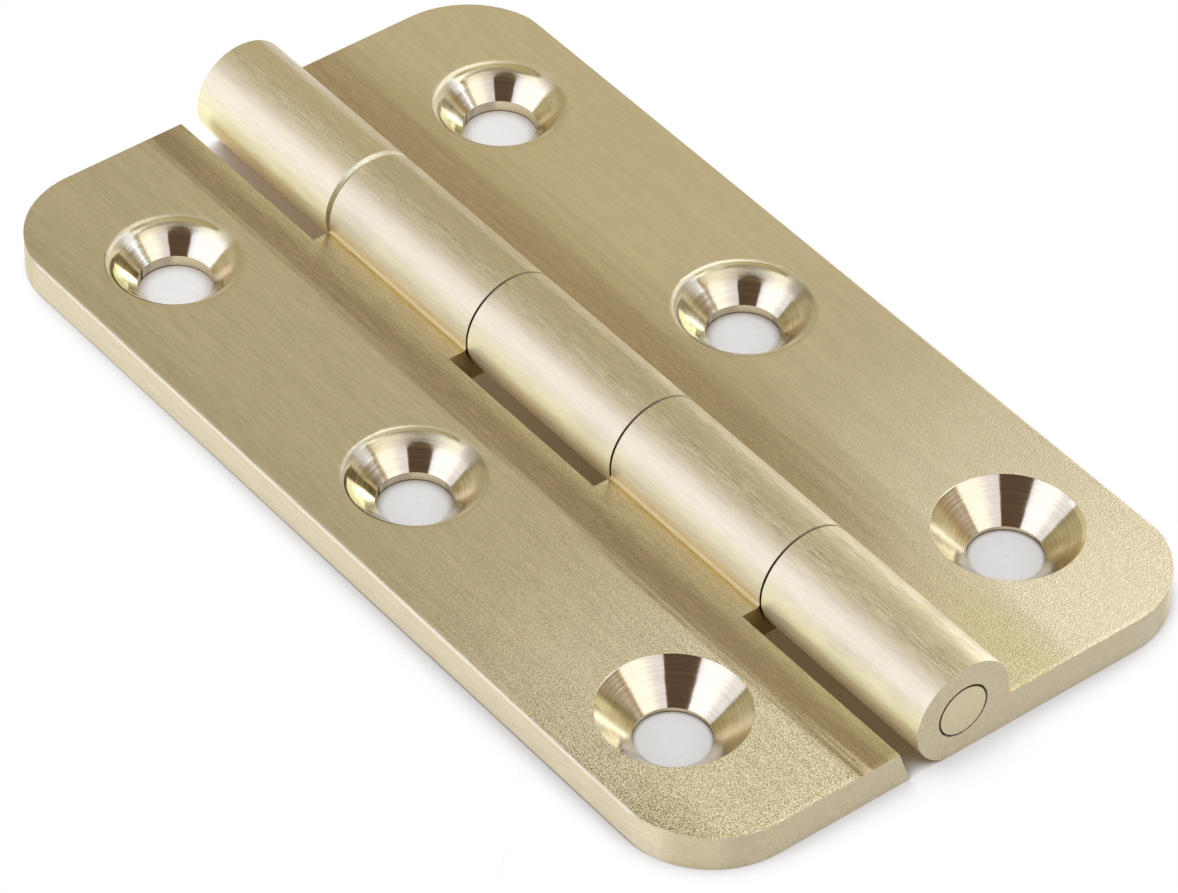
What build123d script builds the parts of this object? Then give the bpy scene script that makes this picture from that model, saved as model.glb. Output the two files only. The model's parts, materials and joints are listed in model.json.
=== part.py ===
from build123d import *
import os
from math import asin, degrees, radians, tan

# A drawn brass butt hinge lying open on its back: two leaves with five knuckles on one plain pin.
# Sizes are in millimetres. The origin is on the back plane under the middle of the barrel, the pin runs
# along Y, Z is up and the three-knuckle leaf lies towards +X.

# Leaves
hinge_length = 50.0
leaf_reach = 14.0  # from the pin axis to a leaf's long edge: half of the open width
leaf_thickness = 1.8
corner_radius = 4.4  # milled outer corners, in plan
edge_round = 0.2  # rounding of the drawn bar along its long edge

# Barrel
knuckle_diameter = 4.9
back_flat = 0.15  # ground off the knuckles' round, level with the backs of the leaves
knuckle_count = 5
knuckle_gap = 0.12  # end play between neighbouring knuckles
root_round = 0.15  # inside corner where a knuckle rises from its leaf
pin_diameter = 2.5
pin_hold_clearance = 0.01  # on the radius, in the leaf that keeps the pin
pin_running_clearance = 0.04  # on the radius, in the leaf that turns on the pin
pin_chamfer = 0.06
bore_chamfer = 0.05
eased_edge = 0.2  # hand-eased inner edge of the far end knuckle

# Slots that clear the other leaf's knuckles
slot_clearance = 0.9  # from the knuckle's side to the slot wall, at the leaf's face
slot_slant = 20.0  # degrees by which the slot wall leans in towards the back

# Screw holes, in one row along each leaf
screw_hole_diameter = 3.4
screw_land = 0.2  # straight wall left below a countersink with a crisp rim
countersink_angle = 90.0
screw_offset = 9.0  # from the pin axis to the row of holes
screw_pitch = 17.5
rim_rounds = (0.05, 0.6, 0.9)  # softened countersink rims, from the near hole to the far one

# Worked out from the sizes above
knuckle_radius = knuckle_diameter / 2
pin_radius = pin_diameter / 2
pin_height = knuckle_radius - back_flat
knuckle_pitch = hinge_length / knuckle_count
far_flank = hinge_length / 2 - knuckle_pitch + knuckle_gap / 2  # inner end of the far end knuckle
slot_wall = knuckle_radius + slot_clearance
screw_hole_radius = screw_hole_diameter / 2
cone_slope = tan(radians(countersink_angle / 2))
rim_radius = screw_hole_radius + (leaf_thickness - screw_land) * cone_slope
rim_turn = radians(90 - countersink_angle / 2)  # between the leaf's face and the countersink wall
hole_places = [(row - (len(rim_rounds) - 1) / 2) * screw_pitch for row in range(len(rim_rounds))]


def section_plane(side, place):
    """The plane across the pin at that place along Y, with its own X pointing out along the leaf."""
    return Plane((0, place, 0), x_dir=(side, 0, 0), z_dir=(0, -side, 0))


def draw_leaf(side, slots, bore_radius, eased_flanks=()):
    """A leaf with its knuckles. side is 1 or -1 along X, and slots numbers the other leaf's knuckles."""
    with BuildPart() as leaf:
        # The drawn bar: a plate whose flat back runs on under the knuckle's round
        root_angle = degrees(asin((leaf_thickness - pin_height) / knuckle_radius))
        back_angle = 180 + degrees(asin(pin_height / knuckle_radius))
        with BuildSketch(section_plane(side, 0)) as section:
            with BuildLine():
                knuckle = CenterArc((0, pin_height), knuckle_radius, root_angle, back_angle - root_angle)
                Polyline(
                    knuckle @ 1,
                    (leaf_reach, 0),
                    (leaf_reach, leaf_thickness),
                    knuckle @ 0,
                )
            make_face()
            fillet(section.vertices().group_by(Axis.X)[-1], edge_round)
            fillet(section.vertices().sort_by_distance(knuckle @ 0)[0], root_round)
        extrude(amount=hinge_length / 2, both=True)

        # Milled outer corners, which cut through the rounding of the long edge
        with BuildSketch(Plane.XY) as plan:
            with Locations((side * (leaf_reach - knuckle_radius) / 2, 0)):
                Rectangle(leaf_reach + knuckle_radius, hinge_length)
            outer_corners = plan.vertices().sort_by(lambda corner: side * corner.X)[-2:]
            fillet(outer_corners, corner_radius)
        extrude(amount=knuckle_diameter, mode=Mode.INTERSECT)

        # A slot for each knuckle of the other leaf
        lean = tan(radians(slot_slant))
        for slot in slots:
            middle = (slot + 0.5) * knuckle_pitch - hinge_length / 2
            with BuildSketch(section_plane(side, middle)):
                with BuildLine():
                    Polyline(
                        (-leaf_reach, 0),
                        (slot_wall - leaf_thickness * lean, 0),
                        (slot_wall + (knuckle_diameter - leaf_thickness) * lean, knuckle_diameter),
                        (-leaf_reach, knuckle_diameter),
                        close=True,
                    )
                make_face()
            extrude(amount=(knuckle_pitch + knuckle_gap) / 2, both=True, mode=Mode.SUBTRACT)

        # Knuckle ends whose round edge is eased, at their places along Y
        for flank in eased_flanks:
            flank_edges = leaf.edges().filter_by_position(Axis.Y, flank - knuckle_gap / 2, flank + knuckle_gap / 2)
            chamfer(flank_edges.filter_by(GeomType.CIRCLE).sort_by(SortBy.RADIUS)[-1], eased_edge)

        # The bore, with its edges broken at each knuckle
        with BuildSketch(section_plane(side, 0)):
            with Locations((0, pin_height)):
                Circle(bore_radius)
        extrude(amount=hinge_length, both=True, mode=Mode.SUBTRACT)
        chamfer(leaf.edges(Select.LAST).filter_by(GeomType.CIRCLE), bore_chamfer)

        # Countersunk screw holes
        for place, rim_round in zip(hole_places, rim_rounds):
            with Locations((side * screw_offset, place, leaf_thickness)):
                CounterSinkHole(
                    screw_hole_radius,
                    rim_radius - rim_round * tan(rim_turn / 2),
                    counter_sink_angle=countersink_angle,
                )
            rim = leaf.edges(Select.LAST).filter_by(GeomType.CIRCLE).group_by(Axis.Z)[-1]
            fillet(rim, rim_round)
    return leaf


three_knuckle_leaf = draw_leaf(
    1, range(1, knuckle_count, 2), pin_radius + pin_hold_clearance, eased_flanks=[far_flank]
)
three_knuckle_leaf.part.label = "three_knuckle_leaf"

two_knuckle_leaf = draw_leaf(-1, range(0, knuckle_count, 2), pin_radius + pin_running_clearance)
two_knuckle_leaf.part.label = "two_knuckle_leaf"

with BuildPart() as hinge_pin:
    with BuildSketch(section_plane(1, 0)):
        with Locations((0, pin_height)):
            Circle(pin_radius)
    extrude(amount=hinge_length / 2, both=True)
    chamfer(hinge_pin.edges().filter_by(GeomType.CIRCLE), pin_chamfer)
hinge_pin.part.label = "hinge_pin"

os.makedirs("parts", exist_ok=True)
for piece in (three_knuckle_leaf, two_knuckle_leaf, hinge_pin):
    export_step(piece.part, f"parts/{piece.part.label}.step")
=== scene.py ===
"""The looks of a drawn brass butt hinge: satin brushed brass on a white floor, under soft studio light."""
import json
import math
from functools import reduce
from types import SimpleNamespace

import bpy
from mathutils import Matrix, Quaternion, Vector


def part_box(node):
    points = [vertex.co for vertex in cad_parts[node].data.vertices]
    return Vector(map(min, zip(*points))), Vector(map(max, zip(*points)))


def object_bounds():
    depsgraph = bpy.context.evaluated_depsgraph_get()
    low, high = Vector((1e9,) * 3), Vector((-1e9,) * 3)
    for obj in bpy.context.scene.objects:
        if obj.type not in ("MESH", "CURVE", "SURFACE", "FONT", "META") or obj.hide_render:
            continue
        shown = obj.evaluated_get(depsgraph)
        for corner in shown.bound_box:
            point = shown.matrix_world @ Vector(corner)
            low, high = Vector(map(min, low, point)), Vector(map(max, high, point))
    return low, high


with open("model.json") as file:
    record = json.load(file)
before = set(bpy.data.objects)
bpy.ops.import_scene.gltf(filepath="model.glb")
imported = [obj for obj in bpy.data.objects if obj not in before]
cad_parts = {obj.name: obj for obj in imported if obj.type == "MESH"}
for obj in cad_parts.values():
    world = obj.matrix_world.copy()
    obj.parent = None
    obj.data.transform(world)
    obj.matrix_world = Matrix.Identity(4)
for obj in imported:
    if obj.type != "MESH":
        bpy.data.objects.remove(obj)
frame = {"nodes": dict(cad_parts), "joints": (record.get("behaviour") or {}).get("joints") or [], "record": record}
cad_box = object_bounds()

# Lengths are in metres, apart from those of the brass, whose nodes work in millimetres
MM = 0.001

# Sizes and places on the hinge, in millimetres, read from the frame. A knuckle's facets fall a little
# short of its round, so its radius is taken to the nearest hundredth
mounts = {mount["name"]: mount for mount in frame["record"]["mounts"]}
end_screws = mounts["right_end_screws"]
screw_offset = end_screws["pos_m"][0] / MM
screw_pitch = end_screws["dims"]["spacing_y_mm"] / 2
hole_radius = end_screws["dims"]["hole_r_mm"]
pin_height = frame["joints"][0]["pos_m"][2] / MM
pin_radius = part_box("hinge_pin")[1][0] / MM
leaf_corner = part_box("three_knuckle_leaf")[1] / MM
leaf_reach = leaf_corner[0]
half_length = leaf_corner[1]
knuckle_radius = round(leaf_corner[2] - pin_height, 2)

# Sizes that the frame doesn't give, in millimetres
KNUCKLE_COUNT = 5
LEAF_THICKNESS = 1.8
SCREW_LAND = 0.2  # straight wall below a countersink
RIM_SPREAD = 0.8  # from a countersink's edge to the outside of its softened rim
ROOT_ROUND = 0.15
EASED_EDGE = 0.2
SLOT_WALL = 3.35  # from the pin's axis to a slot's wall
countersink_radius = hole_radius + LEAF_THICKNESS - SCREW_LAND
rim_reach = countersink_radius + RIM_SPREAD
inner_joint = half_length / KNUCKLE_COUNT  # from the middle to the first gap between knuckles
outer_joint = 3 * inner_joint

# The photograph's frame and viewpoint
IMAGE_WIDTH = 1178
FOCAL_PIXELS = 6081.4
SENSOR_WIDTH = 36.0
camera_azimuth = math.radians(-39.12)
camera_elevation = math.radians(42.48)
camera_roll = math.radians(1.41)
camera_distance = 0.26115
camera_target = Vector((-0.00074, -0.00145, 0.0))

# Brass, as linear colour, with tones for painted light and painted shade and for the brown, partly shaded strip by
# the barrel
BRASS = (0.75, 0.65, 0.44, 1.0)
BRASS_BROWN_AND_SHADE = (0.51, 0.40, 0.26, 1.0)
BRASS_PAINTED_LIGHT = (1.0, 0.875, 0.56, 1.0)
BRASS_WARM_PAINTED_LIGHT = (1.0, 0.83, 0.50, 1.0)
BRASS_GOLD_PAINTED_SHADE = (0.76, 0.59, 0.26, 1.0)

# The studio, as linear colour
WHITE = (1.0, 1.0, 1.0, 1.0)
PAPER = (0.85, 0.85, 0.85, 1.0)
SHADOW_NEAR = (0.133, 0.086, 0.043, 1.0)
SHADOW_FAR = (0.29, 0.205, 0.125, 1.0)
ROOM = (0.56, 0.52, 0.38, 1.0)
ROOM_DIM = (0.45, 0.35, 0.24, 1.0)
ROOM_DARK = (0.12, 0.08, 0.065, 1.0)


class NodeTree:
    """Shorthand for building a node tree. A socket or a plain value can go into any input."""

    def __init__(self, tree):
        self.tree = tree
        self.tree.nodes.clear()

    def add(self, kind, inputs=None, **settings):
        made = self.tree.nodes.new(kind)
        for name, value in settings.items():
            setattr(made, name, value)
        for name, value in (inputs or {}).items():
            self.feed(made.inputs[name], value)
        return made

    def feed(self, socket, value):
        if isinstance(value, bpy.types.NodeSocket):
            self.tree.links.new(value, socket)
        else:
            socket.default_value = value

    def math(self, operation, *values):
        return self.add("ShaderNodeMath", dict(enumerate(values)), operation=operation).outputs[0]

    def vector(self, operation, *values):
        return self.add("ShaderNodeVectorMath", dict(enumerate(values)), operation=operation).outputs[0]

    def measure(self, operation, *values):
        """A number worked out from vectors."""
        made = self.add("ShaderNodeVectorMath", dict(enumerate(values)), operation=operation)
        return made.outputs["Value"]

    def ramp(self, value, low, high, to_low=0.0, to_high=1.0, shape="SMOOTHSTEP"):
        """A step from to_low, where value is low, to to_high, where it is high."""
        inputs = {"Value": value, "From Min": low, "From Max": high, "To Min": to_low, "To Max": to_high}
        return self.add("ShaderNodeMapRange", inputs, interpolation_type=shape).outputs[0]

    def band(self, value, start, full, last, end):
        """1 where value is between full and last, and 0 below start and above end."""
        return self.product(self.ramp(value, start, full), self.ramp(value, end, last))

    def blend(self, factor, a, b):
        """A number between a and b."""
        return self.add("ShaderNodeMix", {"Factor": factor, "A": a, "B": b}, data_type="FLOAT").outputs[0]

    def mix(self, kind, factor, a, b, **settings):
        made = self.add("ShaderNodeMix", {"Factor": factor}, data_type=kind, **settings)
        ends = [socket for socket in made.inputs if socket.type == kind][-2:]
        self.feed(ends[0], a)
        self.feed(ends[1], b)
        return [socket for socket in made.outputs if socket.type == kind][0]

    def tint(self, factor, a, b, blend_type="MIX"):
        """A colour between a and b."""
        return self.mix("RGBA", factor, a, b, blend_type=blend_type)

    def turn(self, factor, a, b):
        """A direction between a and b."""
        return self.mix("VECTOR", factor, a, b)

    def point(self, x, y, z):
        return self.add("ShaderNodeCombineXYZ", {"X": x, "Y": y, "Z": z}).outputs[0]

    def product(self, *values):
        return reduce(lambda a, b: self.math("MULTIPLY", a, b), values)

    def total(self, *values):
        return reduce(lambda a, b: self.math("ADD", a, b), values)

    def weigh(self, *pairs):
        """The sum of the parts, each times its share."""
        return self.total(*(self.product(part, share) for part, share in pairs))

    def inverse(self, mask):
        return self.math("SUBTRACT", 1.0, mask)

    def below(self, start, value):
        """How far value is below start, and 0 above it."""
        return self.math("MAXIMUM", self.math("SUBTRACT", start, value), 0.0)

    def length(self, a, b):
        return self.measure("LENGTH", self.point(a, b, 0.0))

    def noise(self, place, scales):
        """Smooth noise from -0.5 to 0.5, with that many features in a millimetre along X, Y and Z."""
        scaled = self.vector("MULTIPLY", place, scales)
        inputs = {"Vector": scaled, "Scale": 1.0, "Detail": 2.0, "Roughness": 0.5}
        return self.math("SUBTRACT", self.add("ShaderNodeTexNoise", inputs).outputs[0], 0.5)

    def sharpen(self, noise, reach):
        """Noise with more contrast, which gets to -0.5 and 0.5 where it was reach away from 0."""
        return self.ramp(noise, -reach, reach, -0.5, 0.5)

    def to_world(self, direction):
        """A direction on the object, turned with the object."""
        spaces = {"vector_type": "VECTOR", "convert_from": "OBJECT", "convert_to": "WORLD"}
        return self.add("ShaderNodeVectorTransform", {0: direction}, **spaces).outputs[0]


def new_material(name):
    """A material and the shorthand for its nodes."""
    material = bpy.data.materials.new(name)
    material.use_nodes = True
    return material, NodeTree(material.node_tree)


def hinge_place(n):
    """Where a point is on the hinge, in millimetres, and which way it faces, as parts of a unit vector.

    X goes to the right leaf, Y along the pin to the far end and Z up. outward leads up a countersink's wall.
    """
    coords = n.add("ShaderNodeTexCoord").outputs
    to_millimetres = {0: coords["Object"], "Scale": 1 / MM}
    place = n.add("ShaderNodeVectorMath", to_millimetres, operation="SCALE").outputs[0]
    x, y, z = n.add("ShaderNodeSeparateXYZ", {0: place}).outputs
    face_x, face_y, face_z = n.add("ShaderNodeSeparateXYZ", {0: coords["Normal"]}).outputs
    left = n.math("LESS_THAN", x, 0.0)
    side = n.math("ABSOLUTE", x)
    across = n.math("SUBTRACT", side, screw_offset)
    along = n.math("WRAP", y, screw_pitch / 2, -screw_pitch / 2)
    from_hole = n.length(across, along)
    return SimpleNamespace(
        place=place, x=x, y=y, z=z, side=side, left=left, right=n.inverse(left),
        normal=coords["Normal"], face_x=face_x, face_y=face_y, face_z=face_z,
        from_near_end=n.math("ADD", y, half_length),
        from_middle=n.math("ABSOLUTE", y),
        from_pin=n.length(x, n.math("SUBTRACT", z, pin_height)),
        from_hole=from_hole,
        outward=n.point(n.math("MULTIPLY", across, n.math("SIGN", x)), along, from_hole),
    )


def hole_regions(n, at):
    """Parts of the countersinks, each from 0 to 1. The near pair has crisp rims, and the others are worn. Several
    parts carry painted highlights or painted shade over the reflections in the walls.
    """
    near = n.math("LESS_THAN", at.y, -screw_pitch / 2)
    far = n.math("GREATER_THAN", at.y, screw_pitch / 2)
    worn = n.inverse(near)
    off_back = n.ramp(at.face_z, -0.5, -0.1)
    in_reach = n.product(n.ramp(at.from_hole, rim_reach + 0.1, rim_reach), off_back)
    cone = n.product(in_reach, n.ramp(at.face_z, 0.98, 0.88))
    worn_cone = n.product(cone, worn)
    worn_rim = n.product(worn_cone, n.ramp(at.from_hole, countersink_radius - 1.0, countersink_radius - 0.4))
    worn_edge = n.ramp(at.from_hole, countersink_radius - 0.4, countersink_radius - 0.2)
    worn_top = n.product(in_reach, worn, worn_edge, n.ramp(at.face_z, 0.995, 0.97))
    crisp_edge = n.ramp(at.from_hole, countersink_radius - 0.22, countersink_radius - 0.14)
    right_edge = n.product(cone, near, at.right, crisp_edge)
    in_hole = n.ramp(at.from_hole, hole_radius + 0.03, hole_radius + 0.01)
    return {
        "cone": cone,
        "worn_rim": worn_rim,
        "worn_back": n.product(worn_rim, n.ramp(at.face_y, 0.0, -0.2), n.ramp(at.face_x, 0.15, 0.0)),
        # Painted shade at the back of the worn rims, and a painted highlight on the near right rim
        "rim_shadow": n.product(worn_top, n.ramp(at.face_x, -0.05, 0.15), n.ramp(at.face_y, 0.0, -0.15)),
        "rim_gleam": n.product(right_edge, n.ramp(at.face_y, 0.0, 0.2), n.ramp(at.face_x, 0.1, -0.1)),
        # Painted shade on countersink walls: those facing the far end, those facing sideways in the near and
        # middle holes, and part of the far wall of the worn ones
        "near_wall": n.product(cone, n.ramp(at.face_y, 0.15, 0.4)),
        "side_wall": n.product(cone, n.inverse(far), n.band(at.face_y, -0.12, 0.05, 0.15, 0.3)),
        "far_wall": n.product(
            worn_cone, n.band(at.face_x, 0.08, 0.16, 0.28, 0.38), n.ramp(at.face_y, -0.3, -0.5)
        ),
        # Painted highlights: crescents of light on the left wall of the worn countersinks
        "crescent": n.product(
            worn_cone, n.ramp(at.face_x, 0.5, 0.6), n.band(at.face_y, -0.52, -0.44, -0.1, -0.02)
        ),
        # Painted shade that tones down a reflection on the wall just before the crescents
        "before_crescent": n.product(worn_cone, n.band(at.face_x, 0.38, 0.44, 0.52, 0.56)),
        # Painted shade: a dark line at the foot of each hole's straight wall
        "land": n.product(in_hole, n.ramp(at.z, 0.09, 0.05)),
    }


def barrel_regions(n, at):
    """Parts of the knuckles, of their ends and of the slots beside them, each from 0 to 1. The flanks, the slot
    walls and the eased edge carry painted light, and the creases at the knuckles' feet and the lower flanks of the
    left leaf's knuckles carry painted shade.
    """
    end = n.ramp(n.math("ABSOLUTE", at.face_y), 0.8, 0.95)
    off_end = n.inverse(end)
    in_knuckle = n.ramp(at.from_pin, knuckle_radius + 0.05, knuckle_radius + 0.01)
    eased_radius = knuckle_radius - EASED_EDGE
    outer_ring = n.ramp(at.from_pin, eased_radius - 0.05, eased_radius - 0.01)
    barrel = n.product(in_knuckle, off_end)
    left_barrel = n.product(barrel, at.left)
    left_flank = n.product(left_barrel, n.ramp(at.face_z, 0.5, 0.0))
    left_knuckles = n.band(
        at.from_middle, inner_joint - 0.05, inner_joint + 0.05, outer_joint - 0.05, outer_joint + 0.05
    )
    flank = n.product(left_flank, n.inverse(left_knuckles))
    from_crown = n.math("ABSOLUTE", n.math("SUBTRACT", at.face_x, 0.1))
    before_far_knuckle = n.ramp(at.y, outer_joint + 1.0, outer_joint - 1.0)
    return {
        "end": end,
        "bore": n.ramp(at.from_pin, pin_radius + 0.06, pin_radius + 0.04),
        "barrel": barrel,
        "far_knuckle": n.product(barrel, n.ramp(at.y, outer_joint - 0.5, outer_joint + 0.5)),
        "near_knuckle": n.product(barrel, n.ramp(at.y, 0.5 - outer_joint, -0.5 - outer_joint)),
        "barrel_top": n.product(
            barrel, n.ramp(at.face_x, -0.5, -0.2, 0.12, 1.0), n.ramp(from_crown, 0.1, 0.35, 0.6, 1.2)
        ),
        # Painted highlight along the barrel's right flank, paler towards the far end
        "right_flank": n.product(barrel, n.ramp(at.face_x, 0.35, 0.52)),
        # Painted light on the lower left flank of the right leaf's knuckles
        "flank": flank,
        # Painted warm light on the lowest part of that flank
        "low_flank": n.product(flank, n.ramp(at.face_z, 0.25, -0.05)),
        # Painted light on the barrel's left flank: a greener tint and a lighter tone
        "lit_flank": n.product(left_barrel, n.band(at.face_z, -0.1, 0.1, 0.35, 0.6)),
        "bright_flank": n.product(left_barrel, n.band(at.face_z, -0.2, 0.0, 0.3, 0.45), before_far_knuckle),
        # Painted shade on the lower flank of the left leaf's knuckles
        "root_flank": n.product(left_flank, left_knuckles, n.ramp(at.face_z, 0.1, -0.15)),
        # Painted shade in the crease where the knuckles meet the leaves
        "root": n.product(
            n.ramp(at.from_pin, knuckle_radius + 0.01, knuckle_radius + 0.03),
            n.ramp(at.side, knuckle_radius + 2 * ROOT_ROUND, knuckle_radius + ROOT_ROUND),
            n.ramp(at.z, LEAF_THICKNESS - 0.05, LEAF_THICKNESS),
            off_end,
        ),
        # Slot walls: rough, and painted lighter in their colour
        "slot": n.product(
            n.ramp(at.side, SLOT_WALL + 0.15, SLOT_WALL + 0.05),
            n.ramp(at.from_pin, knuckle_radius + 0.02, knuckle_radius + 0.07),
            n.ramp(at.face_z, 0.7, 0.5),
            n.ramp(n.math("ABSOLUTE", at.face_x), 0.5, 0.8),
        ),
        # Painted highlight on the eased knuckle edge that faces the near end
        "eased": n.product(outer_ring, in_knuckle, n.band(at.face_y, -0.95, -0.85, -0.6, -0.4)),
    }


def leaf_regions(n, at, cone, streaks):
    """Parts of the leaves, each from 0 to 1: a smooth strip by the barrel and a sanded face outside it. The
    strip's brown is partly its own finish and partly painted shade from the barrel, and some parts carry painted
    light or painted shade.
    """
    off_barrel = n.ramp(at.from_pin, knuckle_radius + 0.05, knuckle_radius + 0.15)
    face = n.product(n.ramp(at.face_z, 0.9, 0.97), off_barrel, n.inverse(cone))
    left_face = n.product(face, at.left)
    right_face = n.product(face, at.right)
    wander = n.math("MULTIPLY_ADD", streaks, 1.6, at.side)
    left_wander = n.total(wander, n.ramp(at.from_near_end, 10, 1, 0.0, 0.12))
    left_strip = n.product(left_face, n.ramp(left_wander, 5.8, 4.9))
    right_strip = n.product(right_face, n.ramp(wander, 7.5, 3.6), n.ramp(at.from_near_end, -8, 28))
    strip = n.total(left_strip, right_strip)
    sanded = n.product(face, n.inverse(strip))
    near_stretch = n.ramp(at.from_near_end, 11, 3)
    short_stretch = n.ramp(at.from_near_end, 9, 3)
    outer_edge = n.ramp(at.side, leaf_reach - 2, leaf_reach - 1)
    return {
        "face": face,
        "right_face": right_face,
        "strip": strip,
        # Brown of the strip: partly its smoother finish and partly painted shade cast by the barrel
        "brown": n.product(strip, n.ramp(at.side, 3.5, 4.3, n.blend(at.left, 0.9, 0.42), 1.0)),
        "sanded": sanded,
        "speckled": n.product(sanded, n.ramp(at.from_near_end, 27, 1, 0.1, 1.0)),
        "left_near": n.product(left_face, near_stretch),
        # Painted shade beside the barrel and painted light further out, near the right leaf's near end
        "right_near_inner": n.product(right_face, near_stretch, n.ramp(at.side, 6.5, 5.0)),
        "right_near_outer": n.product(right_face, short_stretch, n.ramp(at.side, 5.5, 7.0)),
        # Painted highlight, ragged with the specks, along the near top edge of the faces
        "near_edge": n.product(face, n.ramp(at.from_near_end, 0.25, 0.1)),
        "left_border": n.product(face, n.ramp(at.x, 3 - leaf_reach, -leaf_reach)),
        # Painted light on the left leaf's long outer edge, which faces the left lamp
        "left_edge": n.product(n.ramp(at.face_x, -0.8, -0.95), outer_edge),
    }


def brass_marks(n, at, cone):
    """Marks of the finishing, each from -0.5 to 0.5.

    The lines run along the pin, and round the holes in the countersinks. Broad streaks and scratches run
    along the pin too, and the specks come from sanding.
    """
    brushing = n.noise(at.place, (12, 0.7, 12))
    turning = n.noise(n.point(at.from_hole, at.z, 0.0), (14, 14, 0))
    return SimpleNamespace(
        lines=n.blend(cone, brushing, turning),
        streaks=n.noise(at.place, (3, 0.07, 3)),
        scratches=n.sharpen(n.noise(at.place, (26, 0.9, 26)), 0.24),
        specks=n.sharpen(n.noise(at.place, (19, 16, 19)), 0.21),
    )


def brass_colour(n, at, on, marks):
    """The tone of each region, made lighter or darker by the marks and by painted light and painted shade on many
    regions.
    """
    line_share = n.blend(on.cone, n.blend(at.left, 0.26, 0.40), 0.40)
    speck_share = n.weigh(
        (on.speckled, n.blend(at.left, 0.46, 1.12)),
        (on.strip, 0.32),
        (on.end, 0.12),
        (on.barrel_top, 0.3),
    )
    scratch_share = n.weigh(
        (on.barrel_top, n.ramp(at.from_near_end, 37, 5, 0.29, 0.56)),
        (on.strip, 0.2),
    )
    specks = n.product(marks.specks, speck_share)
    # Besides the marks, the ground ends and the dark ring at the bore, most terms are painted light or painted
    # shade: painted highlights on the barrel's flanks, the countersink crescents, the near right rim and the
    # leaves' edges; painted light on the right face; painted shade in the creases round the knuckles, at the foot
    # of the holes, on countersink walls and beside the barrel at the near end. The left leaf's outer border is
    # darker towards the near end.
    shade = n.total(1.0, specks, n.weigh(
        (marks.lines, line_share),
        (marks.streaks, 0.14),
        (marks.scratches, scratch_share),
        (on.end, -0.14),
        (on.bore, -0.8),
        (on.right_flank, 0.2),
        (on.bright_flank, 0.08),
        (on.root, -0.2),
        (on.far_knuckle, 0.06),
        (on.near_knuckle, 0.02),
        (on.land, -0.6),
        (on.near_wall, -0.1),
        (on.side_wall, -0.3),
        (on.far_wall, -0.2),
        (on.crescent, 0.2),
        (on.before_crescent, n.blend(at.left, -0.5, -0.76)),
        (on.rim_shadow, -0.4),
        (on.rim_gleam, 0.5),
        # Painted light on the right face towards the far end
        (on.right_face, n.ramp(at.from_near_end, 15, 31, 0.02, 0.15)),
        (on.right_near_inner, -0.08),
        (on.right_near_outer, 0.09),
        (on.left_border, n.ramp(at.from_near_end, 11, 1, -0.1, -0.28)),
        (on.left_edge, 0.05),
        (on.near_edge, n.ramp(marks.specks, -0.4, 0.2, 0.0, 0.3)),
    ))
    # A greener painted tint on the lit left flank of the barrel
    green = n.total(shade, n.product(on.lit_flank, 0.06))
    # Bluer or warmer: the specks' hue, the pale painted highlight on the right flank, warmer painted shade beside
    # the barrel near the near end, less blue at the left leaf's near end, and a warmer painted sheen at the back
    # of the worn rims
    blue = n.total(shade, n.weigh(
        (specks, 0.4),
        (on.right_flank, n.ramp(at.from_near_end, 30, 43, 0.14, 0.28)),
        (on.right_near_inner, -0.14),
        (on.left_near, -0.07),
        # Painted warm sheen at the back of the worn rims
        (on.worn_back, -0.16),
    ))
    # Painted light in the colour of the lower flank, the slot walls and the eased edge
    painted_light = n.total(on.flank, on.slot, on.eased)
    # Painted warm light: the lowest flank of the barrel and the crescents in the worn countersinks
    warm = n.total(on.low_flank, on.crescent)
    # Painted shade in a darker gold: the crease round the knuckles, the lower flank of the left leaf's knuckles,
    # and the wall before the crescents in the left leaf's holes
    painted_gold_shade = n.total(n.math("MAXIMUM", on.root, on.root_flank), n.product(on.before_crescent, at.left))
    # The strip by the barrel: its own brown finish with painted shade from the barrel
    colour = n.tint(on.brown, BRASS, BRASS_BROWN_AND_SHADE)
    colour = n.tint(painted_light, colour, BRASS_PAINTED_LIGHT)
    colour = n.tint(warm, colour, BRASS_WARM_PAINTED_LIGHT)
    colour = n.tint(painted_gold_shade, colour, BRASS_GOLD_PAINTED_SHADE)
    return n.tint(1.0, colour, n.point(shade, green, blue), "MULTIPLY")


def brass_roughness(n, on, marks):
    """Turned countersinks are the smoothest, and the walls of the slots the roughest."""
    roughness = 0.31
    finishes = (
        (on.face, 0.32),
        (on.cone, 0.13),
        (on.worn_rim, n.blend(on.worn_back, 0.40, 0.25)),
        (on.end, 0.42),
        (on.strip, 0.24),
        (on.slot, 0.65),
    )
    for region, finish in finishes:
        roughness = n.blend(region, roughness, finish)
    return n.math("MULTIPLY_ADD", marks.lines, 0.10, roughness)


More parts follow.
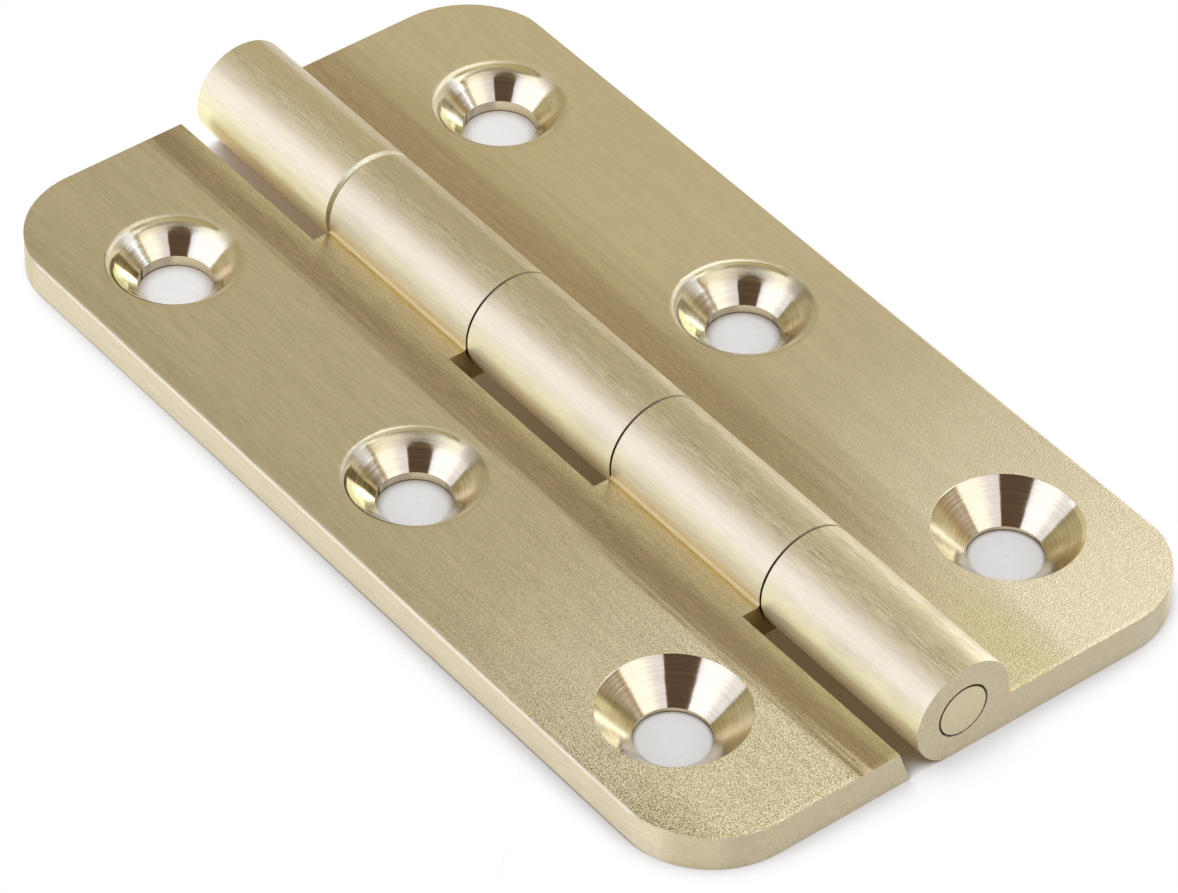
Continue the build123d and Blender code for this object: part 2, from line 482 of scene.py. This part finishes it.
def brass_relief(n, at, on, marks):
    """The normal over the marks, whose depth is in millimetres.

    The sanded faces roll off towards the near end, and so does the last stretch of the end knuckle.
    """
    depth = n.weigh(
        (marks.lines, n.blend(on.cone, 0.005, 0.0015)),
        (marks.specks, n.product(on.speckled, 0.010)),
        (marks.scratches, n.product(on.barrel_top, 0.004)),
    )
    face_start = n.blend(at.left, 10.8, 9.8)
    face_slope = n.blend(at.left, 0.0085, 0.0056)
    face_lean = n.product(n.below(face_start, at.from_near_end), face_slope)
    knuckle_start = 3.5
    knuckle_slope = n.ramp(at.face_x, 0.1, 0.4, 0.0, 0.03)
    knuckle_lean = n.product(n.below(knuckle_start, at.from_near_end), knuckle_slope)
    lean = n.weigh((on.sanded, face_lean), (on.barrel, knuckle_lean))
    roll_off = n.to_world(n.point(0.0, n.math("MULTIPLY", lean, -1.0), 0.0))
    flat = n.add("ShaderNodeNewGeometry").outputs["Normal"]
    rolled = n.vector("NORMALIZE", n.vector("ADD", flat, roll_off))
    inputs = {"Strength": 1.0, "Distance": MM, "Height": depth, "Normal": rolled}
    return n.add("ShaderNodeBump", inputs).outputs[0]


def brass_stretch(n, at, on):
    """The way that highlights stretch, which is across the lines of the finish.

    At the back of a worn rim they stretch round the hole instead.
    """
    pin_axis = (0.0, 1.0, 0.0)
    upward_bias = (0.0, 0.0, 0.02)  # so that a face square to the pin has a direction too
    round_the_pin = n.vector("ADD", n.vector("CROSS_PRODUCT", pin_axis, at.normal), upward_bias)
    round_the_hole = n.vector("CROSS_PRODUCT", at.normal, at.outward)
    in_cone = n.turn(on.worn_back, at.outward, round_the_hole)
    stretch = n.turn(on.cone, round_the_pin, in_cone)
    return n.vector("NORMALIZE", n.to_world(stretch))


def satin_brass():
    """Brass brushed along the pin, with turned countersinks and ground ends."""
    material, n = new_material("satin_brass")
    at = hinge_place(n)
    holes = hole_regions(n, at)
    marks = brass_marks(n, at, holes["cone"])
    leaves = leaf_regions(n, at, holes["cone"], marks.streaks)
    on = SimpleNamespace(**holes, **leaves, **barrel_regions(n, at))
    inputs = {
        "Base Color": brass_colour(n, at, on, marks),
        "Metallic": 1.0,
        "Roughness": brass_roughness(n, on, marks),
        "Anisotropic": 1.0,
        "Tangent": brass_stretch(n, at, on),
        "Normal": brass_relief(n, at, on, marks),
    }
    brass = n.add("ShaderNodeBsdfPrincipled", inputs)
    n.add("ShaderNodeOutputMaterial", {"Surface": brass.outputs[0]})
    return material


def pin_brass():
    """Drawn rod with ground ends and a dark line round its rim."""
    material, n = new_material("pin_brass")
    at = hinge_place(n)
    grind = n.noise(at.place, (12, 0.3, 12))
    rim = n.ramp(at.from_pin, pin_radius - 0.07, pin_radius - 0.05)
    shade = n.total(0.86, n.weigh((grind, 0.25), (rim, -0.76)))
    relief = n.add("ShaderNodeBump", {"Strength": 0.5, "Distance": 0.003 * MM, "Height": grind})
    inputs = {
        "Base Color": n.tint(1.0, BRASS, n.point(shade, shade, shade), "MULTIPLY"),
        "Metallic": 1.0,
        "Roughness": n.math("MULTIPLY_ADD", grind, 0.15, 0.44),
        "Normal": relief.outputs[0],
    }
    brass = n.add("ShaderNodeBsdfPrincipled", inputs)
    n.add("ShaderNodeOutputMaterial", {"Surface": brass.outputs[0]})
    return material


def white_floor():
    """Pale paper under the lamps, which shows as white with the hinge's soft brown shadow."""
    shadow_reach = 12 * MM
    slant = math.radians(35)
    darker_share = 0.4
    dark_openness = 0.458
    white_openness = 0.785
    material, n = new_material("white_floor")

    # How open the floor is in two opposite directions, which slant up along a diagonal
    sides = []
    for direction in (-1, 1):
        leaning = Vector((direction, direction, math.sqrt(2) * math.tan(slant))).normalized()
        inputs = {"Distance": shadow_reach, "Normal": n.point(*leaning)}
        sides.append(n.add("ShaderNodeAmbientOcclusion", inputs, samples=16).outputs["AO"])
    openness = n.blend(darker_share, n.math("MAXIMUM", *sides), n.math("MINIMUM", *sides))

    # The painted shadow on the floor is lifted towards the far end
    y = n.add("ShaderNodeSeparateXYZ", {0: n.add("ShaderNodeTexCoord").outputs["Object"]}).outputs[1]
    far_light = n.ramp(y, -12 * MM, 20 * MM, 0.0, 0.055)
    end_light = n.ramp(y, 20 * MM, 25 * MM, 0.0, 0.07)
    openness = n.total(openness, far_light, end_light)
    glow = n.ramp(openness, dark_openness, white_openness, shape="LINEAR")
    shadow = n.tint(n.ramp(y, -10 * MM, 30 * MM), SHADOW_NEAR, SHADOW_FAR)

    paper = n.add("ShaderNodeBsdfDiffuse", {"Color": PAPER})
    white = n.add("ShaderNodeEmission", {"Color": n.tint(glow, shadow, WHITE), "Strength": 1.0})
    rays = n.add("ShaderNodeLightPath").outputs
    reflected = n.math("MAXIMUM", rays["Is Glossy Ray"], rays["Is Transmission Ray"])
    seen = n.math("MAXIMUM", rays["Is Camera Ray"], reflected)
    surface = n.add("ShaderNodeMixShader", {0: seen, 1: paper.outputs[0], 2: white.outputs[0]})
    n.add("ShaderNodeOutputMaterial", {"Surface": surface.outputs[0]})
    return material


def make_floor():
    """A wide floor, just under the hinge."""
    reach = 3.0
    drop = 0.01 * MM
    low = cad_box[0][2] - drop
    mesh = bpy.data.meshes.new("floor")
    corners = [(-reach, -reach, low), (reach, -reach, low), (reach, reach, low), (-reach, reach, low)]
    mesh.from_pydata(corners, [], [(0, 1, 2, 3)])
    mesh.materials.append(white_floor())
    floor = bpy.data.objects.new("floor", mesh)
    bpy.context.scene.collection.objects.link(floor)


def camera_direction():
    """The unit vector from the hinge to the camera."""
    return Vector((
        math.sin(camera_azimuth) * math.cos(camera_elevation),
        -math.cos(camera_azimuth) * math.cos(camera_elevation),
        math.sin(camera_elevation),
    ))


def make_world():
    """A warm grey room, dim at the near right, dark round the camera, and white to the camera itself."""
    dim_direction = Vector((0.79, -0.51, 0.34)).normalized()
    world = bpy.data.worlds.new("studio")
    bpy.context.scene.world = world
    world.use_nodes = True
    n = NodeTree(world.node_tree)
    direction = n.vector("NORMALIZE", n.add("ShaderNodeTexCoord").outputs["Generated"])
    dim = n.ramp(n.measure("DOT_PRODUCT", direction, dim_direction), 0.93, 0.985)
    dark = n.ramp(n.measure("DOT_PRODUCT", direction, camera_direction()), 0.76, 0.93)
    room = n.tint(dark, n.tint(dim, ROOM, ROOM_DIM), ROOM_DARK)
    rays = n.add("ShaderNodeLightPath").outputs
    shown = n.tint(rays["Is Camera Ray"], room, WHITE)
    background = n.add("ShaderNodeBackground", {"Color": shown, "Strength": 1.0})
    n.add("ShaderNodeOutputWorld", {"Surface": background.outputs[0]})


def make_camera():
    """The photograph's camera."""
    data = bpy.data.cameras.new("camera")
    data.sensor_fit = "HORIZONTAL"
    data.sensor_width = SENSOR_WIDTH
    data.lens = FOCAL_PIXELS * SENSOR_WIDTH / IMAGE_WIDTH
    data.clip_start = 0.01
    camera = bpy.data.objects.new("camera", data)
    bpy.context.scene.collection.objects.link(camera)
    back = camera_direction()
    level = Vector((math.cos(camera_azimuth), math.sin(camera_azimuth), 0.0))
    upright = back.cross(level)
    right = math.cos(camera_roll) * level + math.sin(camera_roll) * upright
    up = back.cross(right)
    turn = Matrix((right, up, back)).transposed().to_4x4()
    camera.matrix_world = Matrix.Translation(camera_target + camera_distance * back) @ turn
    bpy.context.scene.camera = camera


def softbox(name, centre, size, radiance, facing=None, roll=0.0):
    """A rectangular lamp at centre, which faces the middle of the hinge where facing is left out.

    radiance is the brightness that its reflection shows, as linear colour, and roll is in degrees.
    """
    width, height = size
    data = bpy.data.lights.new(name, "AREA")
    data.shape = "RECTANGLE"
    data.size = width
    data.size_y = height
    level = max(radiance)
    data.color = [channel / level for channel in radiance]
    data.energy = level * math.pi * width * height
    lamp = bpy.data.objects.new(name, data)
    bpy.context.scene.collection.objects.link(lamp)
    lamp.location = centre
    ahead = Vector(facing) if facing else -Vector(centre)
    aim = ahead.to_track_quat("-Z", "Y") @ Quaternion((0, 0, 1), math.radians(roll))
    lamp.rotation_euler = aim.to_euler()


def make_lamps():
    """Five softboxes round the hinge."""
    softbox(
        "left_softbox", centre=(-0.40, 0.225, 0.275), size=(0.65, 0.55),
        radiance=(1.02, 1.17, 1.86), facing=(1, 0, 0),
    )
    softbox(
        "side_softbox", centre=(0.45, 0.20, 0.26), size=(0.20, 0.48),
        radiance=(1.0, 1.07, 1.2), facing=(-1, 0, 0),
    )
    softbox(
        "high_softbox", centre=(0.283, 0.120, 0.436), size=(0.13, 0.40),
        radiance=(1.8, 1.98, 2.65), roll=-18,
    )
    softbox(
        "right_softbox", centre=(0.0875, -0.40, 0.375), size=(0.485, 0.45),
        radiance=(0.98, 1.06, 1.45), facing=(0, 1, 0),
    )
    softbox(
        "corner_softbox", centre=(0.370, -0.173, 0.368), size=(0.19, 0.16),
        radiance=(2.9, 3.7, 6.0),
    )


make_camera()
make_floor()
make_world()
make_lamps()

leaf_brass = satin_brass()
rod_brass = pin_brass()
for name, node in frame["nodes"].items():
    node.data.materials.clear()
    node.data.materials.append(rod_brass if name == "hinge_pin" else leaf_brass)

bpy.context.scene.view_settings.view_transform = "Standard"
